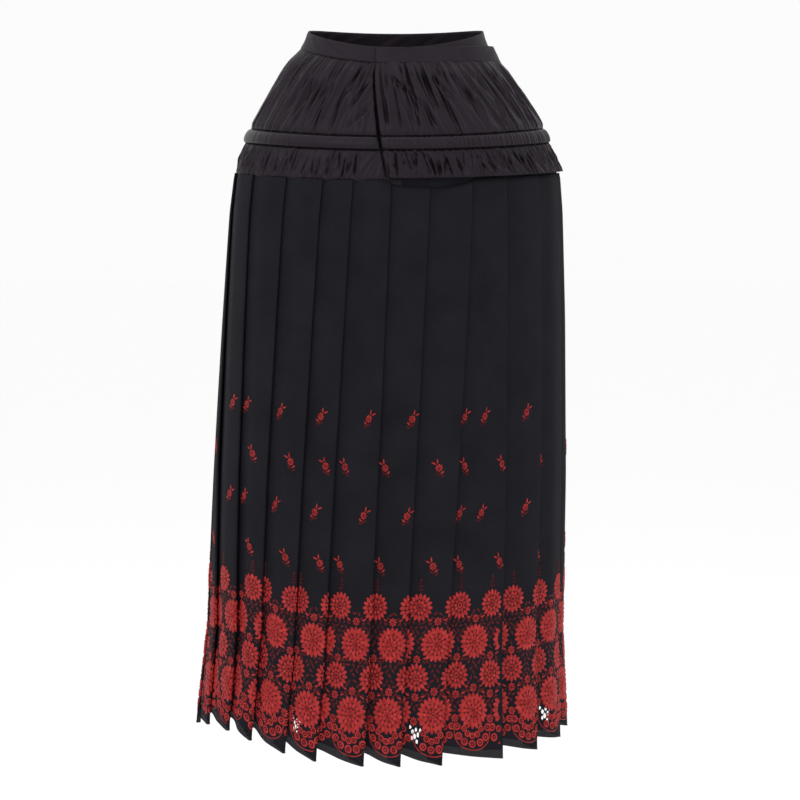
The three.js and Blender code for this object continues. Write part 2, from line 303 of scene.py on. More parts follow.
class Nodes:
    """A material's node tree with short ways to add and join nodes."""

    def __init__(self, name):
        self.material = bpy.data.materials.new(name)
        self.material.use_nodes = True
        self.tree = self.material.node_tree
        self.tree.nodes.clear()
        self.shader = self.add("ShaderNodeBsdfPrincipled")
        output = self.add("ShaderNodeOutputMaterial")
        self.join(self.shader, "BSDF", output, "Surface")

    def add(self, kind, inputs=None, **settings):
        node = self.tree.nodes.new(kind)
        for key, value in settings.items():
            setattr(node, key, value)
        set_inputs(node, inputs or {})
        return node

    def join(self, source, output, target, socket):
        self.tree.links.new(source.outputs[output], target.inputs[socket])

    def cloth_place(self):
        """Coordinates on the flat cloth, in metres."""
        return self.add("ShaderNodeUVMap", uv_map="cloth")

    def texture(self, kind, place, inputs, **settings):
        node = self.add(kind, inputs, **settings)
        self.join(place, "UV", node, "Vector")
        return node

    def base_colour(self, source, ramp, *colours):
        """Two colours, mixed by a noise between two of its values."""
        node = self.add("ShaderNodeValToRGB")
        for element, position, colour in zip(node.color_ramp.elements, ramp, colours):
            element.position = position
            element.color = (*colour, 1.0)
        self.join(source, "Fac", node, "Fac")
        self.join(node, "Color", self.shader, "Base Color")

    def bump(self, source, output, strength, relief, before=None):
        node = self.add("ShaderNodeBump", {"Strength": strength, "Distance": relief})
        self.join(source, output, node, "Height")
        if before is not None:
            self.join(before, "Normal", node, "Normal")
        return node


def woven_cloth(name, dark, light, roughness, gloss, tint, threads, bump, grain=0.0, alpha=1.0):
    """A woven cloth: crossed threads as bump, with soft changes of colour and roughness."""
    nodes = Nodes(name)
    place = nodes.cloth_place()
    patches = nodes.texture("ShaderNodeTexNoise", place, PATCHES)
    nodes.base_colour(patches, CLOTH_RAMP, dark, light)
    crossed = nodes.add("ShaderNodeMath", operation="ADD")
    for i, direction in enumerate(("X", "Y")):
        wave = nodes.texture("ShaderNodeTexWave", place, {"Scale": threads, **WEAVE},
                             bands_direction=direction)
        nodes.tree.links.new(wave.outputs["Fac"], crossed.inputs[i])
    fine = nodes.bump(crossed, "Value", bump, WEAVE_RELIEF)
    pebbles = nodes.texture("ShaderNodeTexNoise", place, PEBBLES)
    rough = nodes.bump(pebbles, "Fac", grain, PEBBLE_RELIEF, before=fine)
    nodes.join(rough, "Normal", nodes.shader, "Normal")
    spread = nodes.add("ShaderNodeMapRange", {
        "To Min": roughness - ROUGHNESS_CHANGE,
        "To Max": roughness + ROUGHNESS_CHANGE,
    })
    nodes.join(patches, "Fac", spread, "Value")
    nodes.join(spread, "Result", nodes.shader, "Roughness")
    set_inputs(nodes.shader, {"Specular IOR Level": gloss, "Specular Tint": (*tint, 1.0), "Alpha": alpha})
    return nodes.material


def thread_material(name, dark, light, roughness):
    """Satin-stitch thread: fine parallel grooves and a soft gloss."""
    nodes = Nodes(name)
    place = nodes.cloth_place()
    patches = nodes.texture("ShaderNodeTexNoise", place, THREAD_PATCHES)
    nodes.base_colour(patches, THREAD_RAMP, dark, light)
    grooves = nodes.texture("ShaderNodeTexWave", place, GROOVES, bands_direction="DIAGONAL")
    bump = nodes.bump(grooves, "Fac", GROOVE_BUMP, GROOVE_RELIEF)
    nodes.join(bump, "Normal", nodes.shader, "Normal")
    set_inputs(nodes.shader, {
        "Roughness": roughness,
        "Specular IOR Level": THREAD_GLOSS,
        "Specular Tint": (*THREAD_TINT, 1.0),
    })
    return nodes.material


SATIN = {"tint": (1, 0.82, 1), "threads": 700}
CREPE_WEAVE = {"roughness": 0.8, "gloss": 0.10, "tint": (0.93, 0.92, 1), "threads": 500, "bump": 0.3,
               "grain": 0.35}
CREPE_COLOURS = ((0.0078, 0.0073, 0.0102), (0.0118, 0.0110, 0.0152))
BAND_CLOTH = woven_cloth("band_cloth", (0.009, 0.007, 0.0095), (0.014, 0.011, 0.0145),
                         roughness=0.55, gloss=0.18, bump=0.15, **SATIN)
YOKE_CLOTH = woven_cloth("yoke_cloth", (0.0048, 0.0036, 0.0051), (0.0092, 0.0070, 0.0098),
                         roughness=0.36, gloss=0.20, bump=0.12, **SATIN)
CREPE = woven_cloth("crepe", *CREPE_COLOURS, **CREPE_WEAVE)
SHEER = woven_cloth("sheer_crepe", *CREPE_COLOURS, alpha=0.87, **CREPE_WEAVE)
RED_THREAD = thread_material("red_thread", (0.27, 0.012, 0.013), (0.47, 0.036, 0.034), 0.5)
# deep red thread of the leaves and stems; the same colour under each flower's petals is painted shade in the
# grooves between them
DEEP_THREAD_AND_SHADE = thread_material("deep_red_thread_and_shade", (0.055, 0.004, 0.005), (0.115, 0.008, 0.009), 0.55)
BLACK_THREAD = thread_material("black_thread", (0.008, 0.007, 0.009), (0.02, 0.018, 0.022), 0.45)


# Gathers and creases

# Main gathers on the base and on the wrap-over front, their height, and columns of mesh for each
UPPER_GATHERS = {"base": 40, "over": 17, "height": 2.6, "steps": 22}
LOWER_GATHERS = {"base": 76, "over": 32, "height": 2.7, "steps": 16}

# Ridges of the gathers: how many to a main gather, height, and strength at the upper and lower seam
RIDGES = ((1, 0.9, 0.9, 0.9), (2, 0.75, 1, 0.1), (3, 0.55, 0.1, 1))
RIDGE_MEAN = 1.0
RIDGE_ROUNDNESS = 0.65
RIDGE_LEAST = 0.25
RIDGE_FADE = (0.15, 0.85)  # shares of the way down between which they change
SPARE_RIDGES = 8
RIDGE_BEND = {"size": 0.3, "turns": 5, "rows": 0.6}
GATHER_DRIFT = ((0.5, 11, 1), (0.35, 29, 0))  # size in gathers, turns and phase
GATHER_LEAN = 6.0  # degrees by which the gathers lean away from the free edge as they fall
BASE_LEAN = (200, 290)  # angles between which the lean sets in on the base
OVER_LEAN = (60, WRAP_SIDE)  # and fades out on the wrap-over front
CREASE_LIMIT = 4.4  # creases that meet get no deeper than this
CREASE_ENDS = 3  # how late they fade at their ends
CREASE_SHARPNESS = 1.5
BANK = {"height": 0.5, "place": 2.2}  # beside a trough, as shares of its depth and width

# How the seams' creases vary: share that starts above, spread of the lean, and factors
FROM_TOP = 0.55
LEAN_SPREAD = 1.5
WIDTH_RANGE = (0.6, 1.4)
DEPTH_RANGE = (0.4, 1)
SPACING_RANGE = (0.5, 1.6)


def gather_drift(share, gathers):
    drift = sum(size * np.sin(turns * share + phase) for size, turns, phase in GATHER_DRIFT)
    return drift / gathers * np.sqrt(np.clip(np.sin(np.pi * share), 0, 1))


def gather_height(place, down, gathers, height, random):
    """Rounded ridges between narrow valleys. Some ridges fade on their way from seam to seam."""
    total = np.full_like(place, -RIDGE_MEAN)
    for to_gather, crest, top, bottom in RIDGES:
        number = gathers * to_gather
        turn = RIDGE_BEND["turns"] * place + RIDGE_BEND["rows"] * down + to_gather
        along = place * number + RIDGE_BEND["size"] * np.sin(2 * np.pi * turn)
        strength = random.uniform(RIDGE_LEAST, 1.0, number + SPARE_RIDGES)
        own = strength[np.floor(along).astype(int) % len(strength)]
        fade = lerp(top, bottom, smooth(*RIDGE_FADE, down))
        total += crest * own * fade * np.abs(np.sin(np.pi * along)) ** RIDGE_ROUNDNESS
    return height * total


def crease_field(angle, z, creases):
    """Narrow troughs with a soft bank on one side: angle, lean, upper end, length, width and depth."""
    total = np.zeros_like(angle)
    for start, lean, top, length, width, depth in creases:
        run = (top - z) / length
        inside = np.clip(1 - np.abs(run * 2 - 1) ** CREASE_ENDS, 0, 1)
        away = turned_away(angle, start + lean * np.clip(run, 0, 1)) / width
        bank = BANK["height"] * np.exp(-((away - BANK["place"]) ** 2))
        total += depth * inside * (bank - np.exp(-np.abs(away) ** CREASE_SHARPNESS))
    return np.clip(total, -CREASE_LIMIT, CREASE_LIMIT / 2)


def seam_creases(random, span, seams, spacing, width, depth, reach, lean):
    """Uneven creases that run down from the upper seam or up from the lower one."""
    creases = []
    top, bottom = seams
    angle, end = span
    while angle < end:
        from_top = random.random_sample() < FROM_TOP
        length = (top - bottom) * random.uniform(*reach)
        start = top if from_top else bottom + length
        own_lean = random.normal(lean, LEAN_SPREAD)
        own_width = width * random.uniform(*WIDTH_RANGE)
        creases.append((angle, own_lean, start, length, own_width, depth * random.uniform(*DEPTH_RANGE)))
        angle += spacing * random.uniform(*SPACING_RANGE)
    return creases


def wrap_edge(z):
    share = np.clip((BAND_TOP - z) / (BAND_TOP - YOKE_BOTTOM), 0, 1)
    return lerp(EDGE_TOP, EDGE_BOTTOM, share)


def row_profile(rows, z, key):
    """A value from the rows of a piece, at any height."""
    ordered = sorted(rows, key=lambda row: row["z"])
    return np.interp(z, [row["z"] for row in ordered], [row.get(key, 0.0) for row in ordered])


def named_rows(*table):
    """The rows of a piece with names for their values."""
    return [dict(zip(ROW_NAMES, row)) for row in table]


# Rows of the pieces: height, strength of the gathers, how far they swell, how far the row of the
# wrap-over front follows its slumped band, and how far the hidden layer sinks and steps in
ROW_NAMES = ("z", "depth", "puff", "follow", "sink", "under")
BAND_ROWS = named_rows((BAND_TOP, 0.0, 0.0, 1.0), (6.0, 0.0, 0.8, 1.0), (BAND_BOTTOM, 0.0, 0.6, 1.0))
UPPER_ROWS = named_rows(
    (BAND_BOTTOM + TUCK, 0.0, -1.2, 1.0),
    (BAND_BOTTOM - SEAM, 0.45, 0.0, 1.0),
    (-18, 0.9, 3.2, 0.7),
    (-48, 1, 4.2, 0.2),
    (-78, 1, 5.5, 0),
    (-93, 0.8, 6, 0),
    (CASING_TOP + SEAM, 0.45, 3.2, 0.0),
)
LOWER_ROWS = named_rows(
    (CASING_BOTTOM - SEAM, 0.5, 2.0),
    (-134, 1, 3),
    (YOKE_BOTTOM + SEAM, 0.6, 2.0, 0.0, UNDER_SINK, UNDER_STEP),
    (YOKE_BOTTOM - TUCK, 0.0, -1.5, 0.0, UNDER_SINK, UNDER_STEP),
)
LOWER_OVER_ROWS = LOWER_ROWS[:2] + named_rows((YOKE_LOOSE_EDGE, 0.8, 4.5))
CASING_ROWS = named_rows((CASING_TOP, 0.0, 3.0), (CASING_BOTTOM, 0.0, 2.0))
CORD_SWELL = 3.9
# How the ruching changes along a casing: a quick and a slow wave of its strength, and one of its spacing
RUCHING_STRENGTH = (0.9, 1.3, 0.37)
RUCHING_SHIFT = (0.25, 0.5)


def casing_form(angle, z, size, spacing, uneven):
    """The round form of a casing over its cord, with fine ruching that changes slowly."""
    middle = (CASING_TOP + CASING_BOTTOM) / 2
    half = (CASING_TOP - CASING_BOTTOM) / 2
    swell = CORD_SWELL * np.sqrt(np.clip(1 - ((z - middle) / half) ** 2, 0, 1))
    turn, phase, slow_turn = RUCHING_STRENGTH
    shift, shift_turn = RUCHING_SHIFT
    strength = 1 - uneven + uneven * np.sin(turn * angle + phase) * np.sin(slow_turn * angle)
    turns = angle / spacing + shift * np.sin(shift_turn * angle)
    return swell + size * strength * np.sin(2 * np.pi * turns)


def flat_places(grid):
    """Places on the flat cloth, measured along the rows and columns of a grid."""
    return np.stack(np.meshgrid(distances(grid[len(grid) // 2]), -distances(grid[:, 0])), axis=-1)


def flat_size(grid, closed=False):
    """Width and length of a cloth on the flat, in metres, along its middle row and its middle column."""
    across = grid[len(grid) // 2]
    if closed:
        across = np.concatenate([across, across[:1]])
    lines = (across, grid[:, grid.shape[1] // 2])
    return tuple(round(float(distances(line)[-1]) * MM, 3) for line in lines)


# Degrees: columns of the hidden part of a ring, and the stretches over which it steps in and sinks
HIDDEN_STEP = 4.0
UNDER_EDGE = (-1.5, -0.5)
SINK_EDGE = 3.0
SINK_SIDE = 6.0
GATHER_SEEDS = {"base": 3, "over": 5}


def relief(rows, angle, z, place, gathers, layer, creases, ruching):
    """How far a piece swells at its rows, with its creases, and its gathers or ruching."""
    out = row_profile(rows, z, "puff") + crease_field(angle, z, creases)
    if gathers:
        random = np.random.RandomState(GATHER_SEEDS[layer])
        waves = gather_height(place, share_down(z), gathers[layer], gathers["height"], random)
        out = out + waves * row_profile(rows, z, "depth")
    if ruching:
        out = out + casing_form(angle, z, *ruching)
    return out


def share_down(z):
    """How far down a piece its rows are, from 0 to 1."""
    return (z[0] - z) / (z[0] - z[-1])


def column_shares(gathers, layer, span, step):
    """Shares of the way along a piece for its columns of mesh, and how far its gathers drift there."""
    if not gathers:
        count = int(span / step)
        return np.arange(count + 1) / count, 0.0
    count = gathers[layer] * gathers["steps"]
    share = np.arange(count + 1) / count
    return share, gather_drift(share, gathers[layer])


def ring_piece(name, material, rows, row_count, gathers, step, creases, ruching):
    """A piece all round, gathered where it shows and plain under the wrap-over front."""
    heights = np.linspace(rows[0]["z"], rows[-1]["z"], row_count)
    end = 360 + float(wrap_edge(rows[-1]["z"]))
    share, drift = column_shares(gathers, "base", end - WRAP_SIDE, step)
    shown = lerp(WRAP_SIDE, end, share + drift)[:-1]
    hidden = np.arange(end, WRAP_SIDE + 360, HIDDEN_STEP)
    angle, z = np.meshgrid(np.concatenate([shown, hidden]), heights)
    lean = GATHER_LEAN / (end - WRAP_SIDE) * smooth(*BASE_LEAN, angle) * share_down(z)
    place = np.concatenate([share[:-1], np.ones(len(hidden))]) + lean
    out = relief(rows, angle, z, place, gathers, "base", creases, ruching)
    under = smooth(*UNDER_EDGE, angle - 360 - wrap_edge(z))
    side = 360 + UNDER_SIDE
    covered = smooth(end, end + SINK_EDGE, angle) * (1 - smooth(side - SINK_SIDE, side, angle))
    sink = row_profile(rows, z, "sink") * covered
    inward = row_profile(rows, z, "under") * covered
    grid = form_points(angle, z - sink, out * (1 - under) + inward)
    lining = ((covered > 0) & (z < UNDER_FROM))[1:].astype(int)
    obj = cloth_shell(name, grid, YOKE_SHELL, [material, CREPE], flat_places(grid), closed=True,
                      cell_slots=lining)
    return obj, grid[:, : len(shown)], flat_size(grid, closed=True)


def wrap_piece(name, material, rows, row_count, gathers, step, creases, ruching, lift):
    """A piece of the wrap-over front, which lies on the pieces all round."""
    heights = np.linspace(rows[0]["z"], rows[-1]["z"], row_count)
    span = WRAP_SIDE - EDGE_TOP
    share, drift = column_shares(gathers, "over", span, step)
    part, z = np.meshgrid(share + drift, heights)
    angle = lerp(wrap_edge(z), WRAP_SIDE, part)
    fall = np.clip((BAND_TOP - z) / (BAND_TOP - YOKE_BOTTOM), 0, 1)
    follow = row_profile(rows, z, "follow")
    stand = EDGE_LIFT * fall * np.exp(-part * EDGE_FADE)
    swell = np.sin(np.pi * (part - BAND_STANDOFF["from"]) / BAND_STANDOFF["span"])
    away = BAND_STANDOFF["depth"] * follow * np.clip(swell, 0, 1)
    slump = BAND_SLUMP * follow * (1 - front_share(np.radians(angle)))
    turn_in = EDGE_TURN["share"] * np.exp(-((part * span / EDGE_TURN["width"]) ** 2))
    place = share - GATHER_LEAN / span * (1 - smooth(*OVER_LEAN, angle)) * share_down(z)
    out = relief(rows, angle, z, place, gathers, "over", creases, ruching)
    grid = form_points(angle, z - slump, (lift + stand) * (1 - turn_in) + away + out)
    obj = cloth_shell(name, grid, YOKE_SHELL, [material], flat_places(grid))
    return obj, grid, flat_size(grid)


# Yoke and bands

# Creases that stand out in front: angle at their upper end, lean, height there, length, width, depth
DRAG_CREASES = (
    (-3, 14.5, -22, 40, 1.3, 4.6),
    (1, 2, -6, 16, 0.8, 2.6),
    (14, 2.5, -22, 48, 1.1, 4.2),
    (12, 3, -53, 40, 1, 4),
    (20, 4.5, -24, 30, 1.2, 4.4),
    (24.5, -2, -7, 17, 0.8, 2.6),
    (23, 2, -60, 31, 0.9, 3.2),
    (31.5, 5.5, -20, 62, 1, 4.2),
    (37, 1, -48, 38, 0.9, 3.4),
    (46, 0.5, -24, 24, 0.9, 3.2),
    (49.5, -2.5, -56, 36, 0.9, 3.2),
    (59, 0.5, -29, 30, 0.9, 3.2),
    (70, -5, -50, 40, 0.9, 3.4),
)
BASE_CREASES = (
    (-12.5, -9, -24, 47, 1.1, 4.4),
    (-10.5, -10, -58, 34, 1, 4.2),
    (-18.5, -6, -7, 45, 0.9, 3.2),
    (-20.5, -6.5, -21, 51, 1.1, 4.2),
    (-30, -2, -8, 42, 0.9, 3.4),
    (-33.5, -2, -18, 40, 1.1, 4.2),
    (-37.5, -2.5, -27, 48, 1, 3.8),
    (-41, -7, -34, 51, 1, 4.2),
    (-45, 1, -32, 28, 0.9, 3.2),
    (-49, -3.5, -27, 50, 1, 4),
    (-62.5, -3, -19, 16, 0.8, 2.6),
)
# Creases from the seams of a tier: heights of its seams, spacing in degrees, width, depth, shares of
# the height that they reach, and their lean on the base and on the wrap-over front
SEAM_CREASES = {
    "yoke_upper": ((BAND_BOTTOM + TUCK, CASING_TOP + SEAM), 3.7, 0.62, 4.2, (0.5, 1), (-3, 4)),
    "yoke_lower": ((CASING_BOTTOM - SEAM, YOKE_BOTTOM + SEAM), 2.1, 0.45, 3.8, (0.6, 1), (-0.5, 1)),
    "waistband": ((BAND_TOP, BAND_BOTTOM), 20, 2.6, 1.2, (0.7, 1), (20, -20)),
}
FROM_EDGE = 4  # degrees between the free edge and its first crease
SEAM_SPANS = ((WRAP_SIDE, 360 + EDGE_TOP), (EDGE_TOP + FROM_EDGE, WRAP_SIDE))
CREASE_SEED = 11

# Tiers: cloth, rows and rows of mesh of the base and of the wrap-over front, gathers, degrees between
# columns where there are none, ruching (size, spacing in degrees, unevenness), and lift of that front
TIERS = {
    "waistband": (BAND_CLOTH, (BAND_ROWS, BAND_ROWS), (9, 9), None, (1.5, 1.5), (None, None), BAND_LIFT),
    "yoke_upper": (YOKE_CLOTH, (UPPER_ROWS, UPPER_ROWS), (34, 34), UPPER_GATHERS, (None, None),
                   (None, None), WRAP_LIFT),
    "casing": (YOKE_CLOTH, (CASING_ROWS, CASING_ROWS), (13, 13), None, (0.6, 0.25),
               ((0.3, 3.4, 0.5), (0.75, 2.1, 0.4)), WRAP_LIFT),
    "yoke_lower": (YOKE_CLOTH, (LOWER_ROWS, LOWER_OVER_ROWS), (16, 14), LOWER_GATHERS, (None, None),
                   (None, None), WRAP_LIFT),
}


def yoke_creases():
    """Creases of each tier, on the base and on the wrap-over front."""
    random = np.random.RandomState(CREASE_SEED)
    creases = {"casing": ((), ())}
    for tier, (seams, *shape, leans) in SEAM_CREASES.items():
        creases[tier] = [seam_creases(random, span, seams, *shape, lean)
                         for span, lean in zip(SEAM_SPANS, leans)]
    for layer, table in zip(creases["yoke_upper"], (BASE_CREASES, DRAG_CREASES)):
        layer += table
    return creases


def build_yoke():
    creases = yoke_creases()
    pieces = {}
    for tier, (cloth, rows, counts, gathers, steps, ruching, lift) in TIERS.items():
        base, over = zip(rows, counts, (gathers, gathers), steps, creases[tier], ruching)
        pieces[tier] = ring_piece(f"{tier}_cloth", cloth, *base)
        pieces[f"{tier}_over"] = wrap_piece(f"{tier}_over_cloth", cloth, *over, lift)
    return pieces


# Stitching

STITCH = {"length": 2.7, "pitch": 3.7, "width": 0.55, "height": 0.3, "foot": -0.1, "sides": 6}
# Lines of stitches: pieces, and shares of the way down them
STITCH_LINES = (
    (("waistband", "waistband_over"), (0.07, 0.93)),
    (("casing", "casing_over"), (0, 1)),
    (("yoke_lower_over",), (0.92,)),
)
EDGE_STITCHED = ("yoke_upper_over", "yoke_lower_over")  # and along these pieces' free edge
EDGE_STITCH_COLUMN = 5


def stitch_frames(path, normals):
    """Places and directions of the stitches along a line of points."""
    run = distances(path)
    at = np.arange(STITCH["pitch"], run[-1] - STITCH["pitch"], STITCH["pitch"])
    here, ahead, up = (np.stack([np.interp(places, run, values[:, i]) for i in range(3)], axis=1)
                       for places, values in ((at, path), (at + 1, path), (at, normals)))
    along = unit(ahead - here)
    return here + up * (YOKE_SHELL / 2), along, np.cross(up, along), up


def build_stitching(pieces):
    """Topstitching in dark thread along the bands, the casings and the free edge."""
    lines = []
    for nodes, shares in STITCH_LINES:
        for node in nodes:
            grid = pieces[node][1]
            normals = grid_normals(grid)
            rows = [round(share * (len(grid) - 1)) for share in shares]
            lines += [(grid[row], normals[row]) for row in rows]
    for node in EDGE_STITCHED:
        grid = pieces[node][1]
        lines.append((grid[:, EDGE_STITCH_COLUMN], grid_normals(grid)[:, EDGE_STITCH_COLUMN]))
    sides = STITCH["sides"]
    turns = 2 * np.pi * np.arange(sides) / sides
    rim = np.stack([np.cos(turns) * STITCH["length"] / 2, np.sin(turns) * STITCH["width"] / 2], axis=1)
    shape = np.concatenate([np.c_[rim, np.full(sides, STITCH["foot"])], [[0, 0, STITCH["height"]]]])
    fan = np.array([(i, (i + 1) % sides, sides) for i in range(sides)])
    points, faces, count = [], [], 0
    for path, normals in lines:
        for place, along, side, up in zip(*stitch_frames(path, normals)):
            points.append(place + shape @ np.stack([along, side, up]))
            faces.append(fan + count)
            count += len(shape)
    points = np.concatenate(points)
    return make_object("stitching", points, np.concatenate(faces), [BLACK_THREAD], points[:, [0, 2]])


# Pleats

# Steps of one pleat's path: the layer under the fold, the shown panel, a fold's turn, the way back
HIDDEN_STEPS = 3
PANEL_STEPS = 15
TURN_STEPS = 5
RETURN_STEPS = 3
HOLE_STEPS = 9
SEAM_STEP = HIDDEN_STEPS + 8  # the left side seam lies at this step of the first pleat
PANEL_RISE = (0.03, 0.62)  # shares of the panel over which it rises over its neighbour
# Shares of the hem step: where the hidden layer starts, how much is lost on the way back, at its fold
DROP_START = 0.3
DROP_BACK = 0.5
DROP_FOLD = 0.45
SAG_FADE = 30.0  # how soon the sag of the top fades down the pleats
LEAST_STEP = 0.02  # between two columns on the flat cloth
LAY_STEP = 0.4  # over which the cloth's slope is measured
# Unevenness of hung cloth, in millimetres: two slow waves down each panel, each with its length,
# change from pleat to pleat and size, and a flute that opens near the hem
SLOW_SIZE = 0.35
SLOW_WAVES = ((97, 2.1, 1), (41, 3.7, 0.6))
FLUTE_CHANGE = 1.7
# Rows of mesh, closer near the yoke and in the openwork: lower end of a stretch, and its rows
ROW_STRETCHES = ((-200, 8), (-700, 23), (-770, 13), (-794, 24), (HEM, 7))
COLUMN_NAMES = ("top", "hem", "layer", "turn", "drop", "along", "pleat", "hidden")


def fold_table():
    """Outer folds of all the pleats, in degrees at the yoke and at the hem."""
    first, last = np.array(FRONT_FOLDS[0]) + 360, np.array(FRONT_FOLDS[-1])
    shares = [(i + 1) / (BACK_PLEATS + 1) for i in range(BACK_PLEATS)]
    return [*FRONT_FOLDS, *(tuple(lerp(last, first, share)) for share in shares)]


def has_holes(pleat):
    return pleat % HOLE_PLEATS["every"] == HOLE_PLEATS["from"]


class Pleats:
    """The folded path of the pleated cloth, once round from the left side seam."""

    def __init__(self):
        self.folds = fold_table()
        self.count = len(self.folds)
        self.rows = []
        self.starts = []
        for pleat in range(self.count + 1):
            self.starts.append(len(self.rows))
            self.add_pleat(pleat)
        self.columns = dict(zip(COLUMN_NAMES, np.array(self.rows, float).T))
        hem = self.place(self.columns, np.full(len(self.rows), HEM))
        steps = np.linalg.norm(np.diff(hem[:, :2], axis=0), axis=1)
        self.u = np.concatenate([[0], np.cumsum(np.maximum(steps, LEAST_STEP))])

    def fold(self, index):
        turns, place = divmod(index, self.count)
        top, hem = self.folds[place]
        return np.array([top + 360 * turns, hem + 360 * turns])

    def add_pleat(self, pleat):
        before, start, end = (self.fold(pleat + k) for k in (-2, -1, 0))
        under_start = UNDERLAY * (start - before)
        under_end = UNDERLAY * (end - start)

        def add(angles, layer, turn, drop, along, hidden):
            self.rows.append((*angles, layer, turn, drop, along, pleat, hidden))

        def add_turn(angles, layer, reach, drop, hidden):
            for k in range(1, TURN_STEPS):
                turn = math.pi * k / TURN_STEPS
                add(angles, layer + 0.5 * math.cos(turn), reach * math.sin(turn), drop, 1.0, hidden)

        for k in range(HIDDEN_STEPS):
            left = 1 - k / HIDDEN_STEPS
            add(start - under_start * left, 0.0, 0.0, DROP_START * left, 0.0, 1)
        steps = np.arange(PANEL_STEPS + 1) / PANEL_STEPS
        if has_holes(pleat):
            low = min(place - wide for place, _, wide, _ in HOLES)
            high = max(place + wide for place, _, wide, _ in HOLES)
            steps = np.unique(np.concatenate([steps, np.linspace(low, high, 2 * HOLE_STEPS)]).round(4))
        for along in steps:
            rise = 2.0 * float(smooth(*PANEL_RISE, along))
            add(start + (end - start) * along, rise, 0.0, along, along, along == 0)
        add_turn(end, 1.5, 0.5, 1.0, 0)
        for k in range(RETURN_STEPS + 1):
            share = k / RETURN_STEPS
            add(end - under_end * share, 1.0, 0.0, 1.0 - DROP_BACK * share, 1.0, 1)
        add_turn(end - under_end, 0.5, -0.5, DROP_FOLD, 1)

    def place(self, columns, z):
        """Points of some columns of the path at a side height."""
        fall = np.clip((YOKE_BOTTOM - z) / (YOKE_BOTTOM - HEM), 0, 1)
        layer = lerp(LAYER_TOP, LAYER_HEM, fall)
        angle = lerp(columns["top"], columns["hem"], fall)
        height = columns["layer"] * layer + soft_waves(columns, self.count, z, fall)
        points = form_points(angle, z, height, columns["turn"] * layer)
        sag_share = np.clip((columns["top"] - TOP_SAG["from"]) / (TOP_SAG["to"] - TOP_SAG["from"]), 0, 1)
        near_top = np.clip(1 - fall * SAG_FADE, 0, 1)
        sag = TOP_SAG["depth"] * np.sqrt(np.sin(np.pi * sag_share)) * near_top
        points[..., 2] -= HEM_STEP * columns["drop"] * fall**HEM_SHARPNESS + sag
        away = turned_away(angle, SWING["angle"])
        swing = SWING["rise"] * np.exp(-((away / SWING["spread"]) ** 2))
        points[..., 2] += swing * fall ** SWING["sharpness"]
        return points

    def outer_fold(self, pleat):
        """Steps from the start of a pleat's path to the last point of its shown panel."""
        end = self.starts[pleat + 1] if pleat < self.count else len(self.rows)
        along = self.columns["along"][self.starts[pleat]:end]
        return int(np.argmax(along >= 1))

    def panel_place(self, pleat, share):
        """The place on the flat cloth at a share of a pleat's shown panel."""
        panel = slice(self.starts[pleat] + HIDDEN_STEPS, self.starts[pleat] + self.outer_fold(pleat) + 1)
        return float(np.interp(share, self.columns["along"][panel], self.u[panel]))

    def at(self, u):
        """The path's columns at places on the flat cloth."""
        return {name: np.interp(u, self.u, values) for name, values in self.columns.items()}

    def lay(self, u, z, height):
        """Points over the cloth's outer side: place along it, side height, and height above it."""
        here = self.at(u)
        across = self.place(self.at(u + LAY_STEP), z) - self.place(self.at(u - LAY_STEP), z)
        down = self.place(here, z - LAY_STEP) - self.place(here, z + LAY_STEP)
        return self.place(here, z) + unit(np.cross(down, across)) * (height[..., None] + CREPE_SHELL / 2)


def soft_waves(columns, count, z, fall):
    """How far a panel's slow waves and its flute stand out."""
    pleat = columns["pleat"] % count
    slow = sum(size * np.sin(z / length + change * pleat) for length, change, size in SLOW_WAVES)
    flute = np.sin(2 * np.pi * columns["along"] + FLUTE_CHANGE * pleat) * (1 - columns["hidden"])
    return SLOW_SIZE * slow * fall + flute * fall**3


def skirt_heights():
    heights = np.array([YOKE_BOTTOM - SEAM])
    for end, rows in ROW_STRETCHES:
        heights = np.concatenate([heights, np.linspace(heights[-1], end, rows + 1)[1:]])
    return heights


def is_open(along, hidden, pleat, z):
    """Whether a place lies in one of the holes of the openwork."""
    inside = np.zeros(np.broadcast(along, z).shape, bool)
    for place, height, wide, high in HOLES:
        inside |= ((along - place) / wide) ** 2 + ((z - height) / high) ** 2 < 1
    return inside & (hidden < 0.5) & has_holes(np.round(pleat))


def pleated_cloth(name, pleats, first, last):
    """The cloth over some of the path's columns."""
    columns = {key: values[first:last] for key, values in pleats.columns.items()}
    heights = skirt_heights()
    grid = np.stack([pleats.place(columns, np.full(last - first, z)) for z in heights])
    uv = np.stack(np.meshgrid(pleats.u[first:last], heights), axis=-1)
    along = (columns["along"][:-1] + columns["along"][1:]) / 2
    hidden = np.maximum(columns["hidden"][:-1], columns["hidden"][1:])
    z = ((heights[:-1] + heights[1:]) / 2)[:, None]
    open_cells = is_open(along, hidden, columns["pleat"][:-1], z)
    slots = np.broadcast_to((z < SHEER_FROM).astype(int), open_cells.shape)
    thickness = np.full(len(heights), CREPE_SHELL)
    thickness[-1] = HEM_ROLL
    return cloth_shell(name, grid, thickness, [CREPE, SHEER], uv, open_cells=open_cells, cell_slots=slots)


# Embroidery

RED = 0
DEEP = 1

# One repeat of the border on the flat cloth: width, where the first one starts, and its rows
REPEAT = 43.4
PHASE = 12.4
MEDIUM_ROWS = (-639, -719)
LARGE_ROWS = (-681, -759)
ROUNDS = ((0, -655), (0.5, -698.5), (0, -733.5), (0.5, -741), (0.5, -768))  # shift and height
